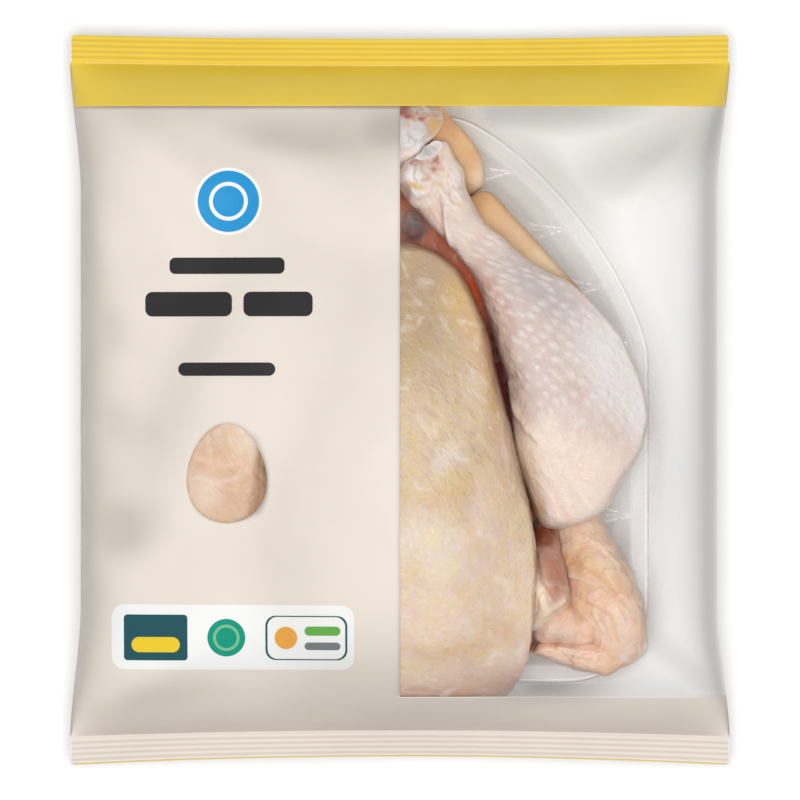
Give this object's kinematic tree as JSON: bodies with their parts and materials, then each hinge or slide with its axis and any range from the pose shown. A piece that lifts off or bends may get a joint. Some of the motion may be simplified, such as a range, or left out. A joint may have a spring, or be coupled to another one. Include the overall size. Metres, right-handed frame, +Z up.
{
  "type": "packed whole raw chicken",
  "caption": "Whole raw chicken lying breast up in a clear tray, sealed in a printed film bag with a clear window and a crimped seal at each end.",
  "frame": {"origin": "on the floor, under the middle of the bag as it lies on its back", "axes": "+Z up through the window side, +Y along the bag towards the end with the wide yellow band, +X across the bag towards the side with the clear window"},
  "size_m": [0.26, 0.288, 0.093],
  "materials": {
    "printed_film": "satin cream film, yellow at the seals",
    "clear_film": "clear glossy film",
    "clear_tray": "clear formed plastic",
    "chicken_skin": "moist raw poultry skin"
  },
  "bodies": {
    "root": {"bag": "printed_film"}
  },
  "joints": []
}
